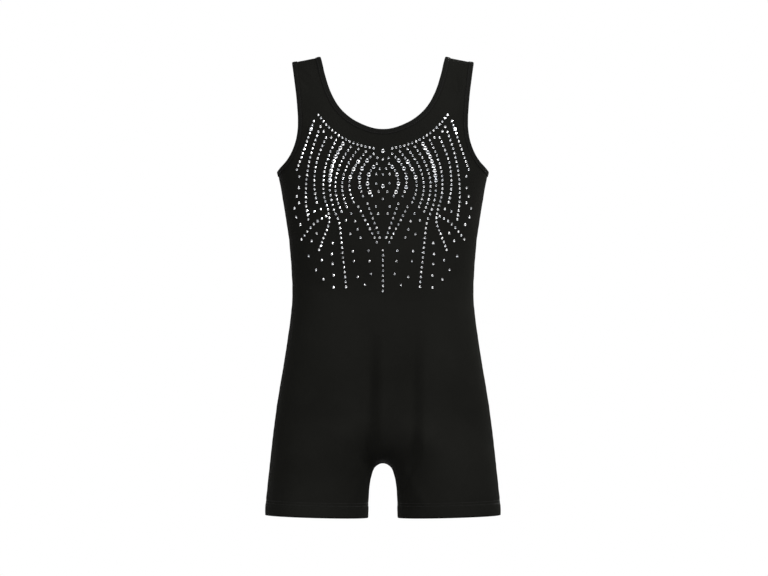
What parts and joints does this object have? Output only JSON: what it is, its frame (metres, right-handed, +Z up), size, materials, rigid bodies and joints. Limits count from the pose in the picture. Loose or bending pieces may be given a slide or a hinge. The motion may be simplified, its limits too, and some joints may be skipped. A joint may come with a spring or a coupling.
{
  "type": "gymnastics leotard",
  "caption": "Sleeveless scoop-neck gymnastics leotard with short legs in black stretch knit, with a mirrored scroll of silver crystals on the chest.",
  "frame": {"origin": "midway between the undersides of the two shoulder straps, where the wearer's shoulders carry the garment", "axes": "+Z up, the front of the garment faces -Y, +X towards the wearer's left"},
  "size_m": [0.3064, 0.1514, 0.6001],
  "materials": {
    "knit": "matte",
    "binding": "matte",
    "lining": "matte",
    "elastic": "matte",
    "thread": "satin",
    "label": "satin",
    "crystal": "gloss"
  },
  "bodies": {
    "garment": {"front_panel": "knit", "back_panel": "knit", "front_lining": "lining", "crotch_lining": "lining", "neck_binding": "binding", "neck_elastic": "elastic", "neck_topstitch": "thread", "left_armhole_binding": "binding", "left_armhole_elastic": "elastic", "left_armhole_topstitch": "thread", "left_leg_hem": "knit", "left_leg_elastic": "elastic", "left_hem_stitch": "thread", "left_side_seam": "thread", "left_inseam": "thread", "left_shoulder_seam": "thread", "crystals_neck_row_left": "crystal", "crystals_strap_row_left": "crystal", "crystals_ring_left": "crystal", "crystals_ring_outer_left": "crystal", "crystals_inner_curl_left": "crystal", "crystals_side_tail_left": "crystal", "crystals_short_curl_left": "crystal", "crystals_middle_run_left": "crystal", "crystals_inner_run_left": "crystal", "crystals_outer_short_left": "crystal", "crystals_outer_long_left": "crystal", "crystals_drop_curl_left": "crystal", "crystals_v_outer_left": "crystal", "crystals_v_inner_left": "crystal", "right_armhole_binding": "binding", "right_armhole_elastic": "elastic", "right_armhole_topstitch": "thread", "right_leg_hem": "knit", "right_leg_elastic": "elastic", "right_hem_stitch": "thread", "right_side_seam": "thread", "right_inseam": "thread", "right_shoulder_seam": "thread", "crystals_neck_row_right": "crystal", "crystals_strap_row_right": "crystal", "crystals_ring_right": "crystal", "crystals_ring_outer_right": "crystal", "crystals_inner_curl_right": "crystal", "crystals_side_tail_right": "crystal", "crystals_short_curl_right": "crystal", "crystals_middle_run_right": "crystal", "crystals_inner_run_right": "crystal", "crystals_outer_short_right": "crystal", "crystals_outer_long_right": "crystal", "crystals_drop_curl_right": "crystal", "crystals_v_outer_right": "crystal", "crystals_v_inner_right": "crystal", "crystals_centre_drop": "crystal"},
    "neck_label": {"neck_label": "label"},
    "care_label": {"care_label": "label"}
  },
  "joints": [
    {"name": "neck_label_hinge", "type": "hinge", "parent": "garment", "child": "neck_label", "pos_m": [0, 0.05968, -0.1487], "axis": [-1, 0, 0], "range_deg": [0, 120]},
    {"name": "care_label_hinge", "type": "hinge", "parent": "garment", "child": "care_label", "pos_m": [0.11356, 0, -0.352], "axis": [0, 0, 1], "range_deg": [-60, 60]}
  ]
}
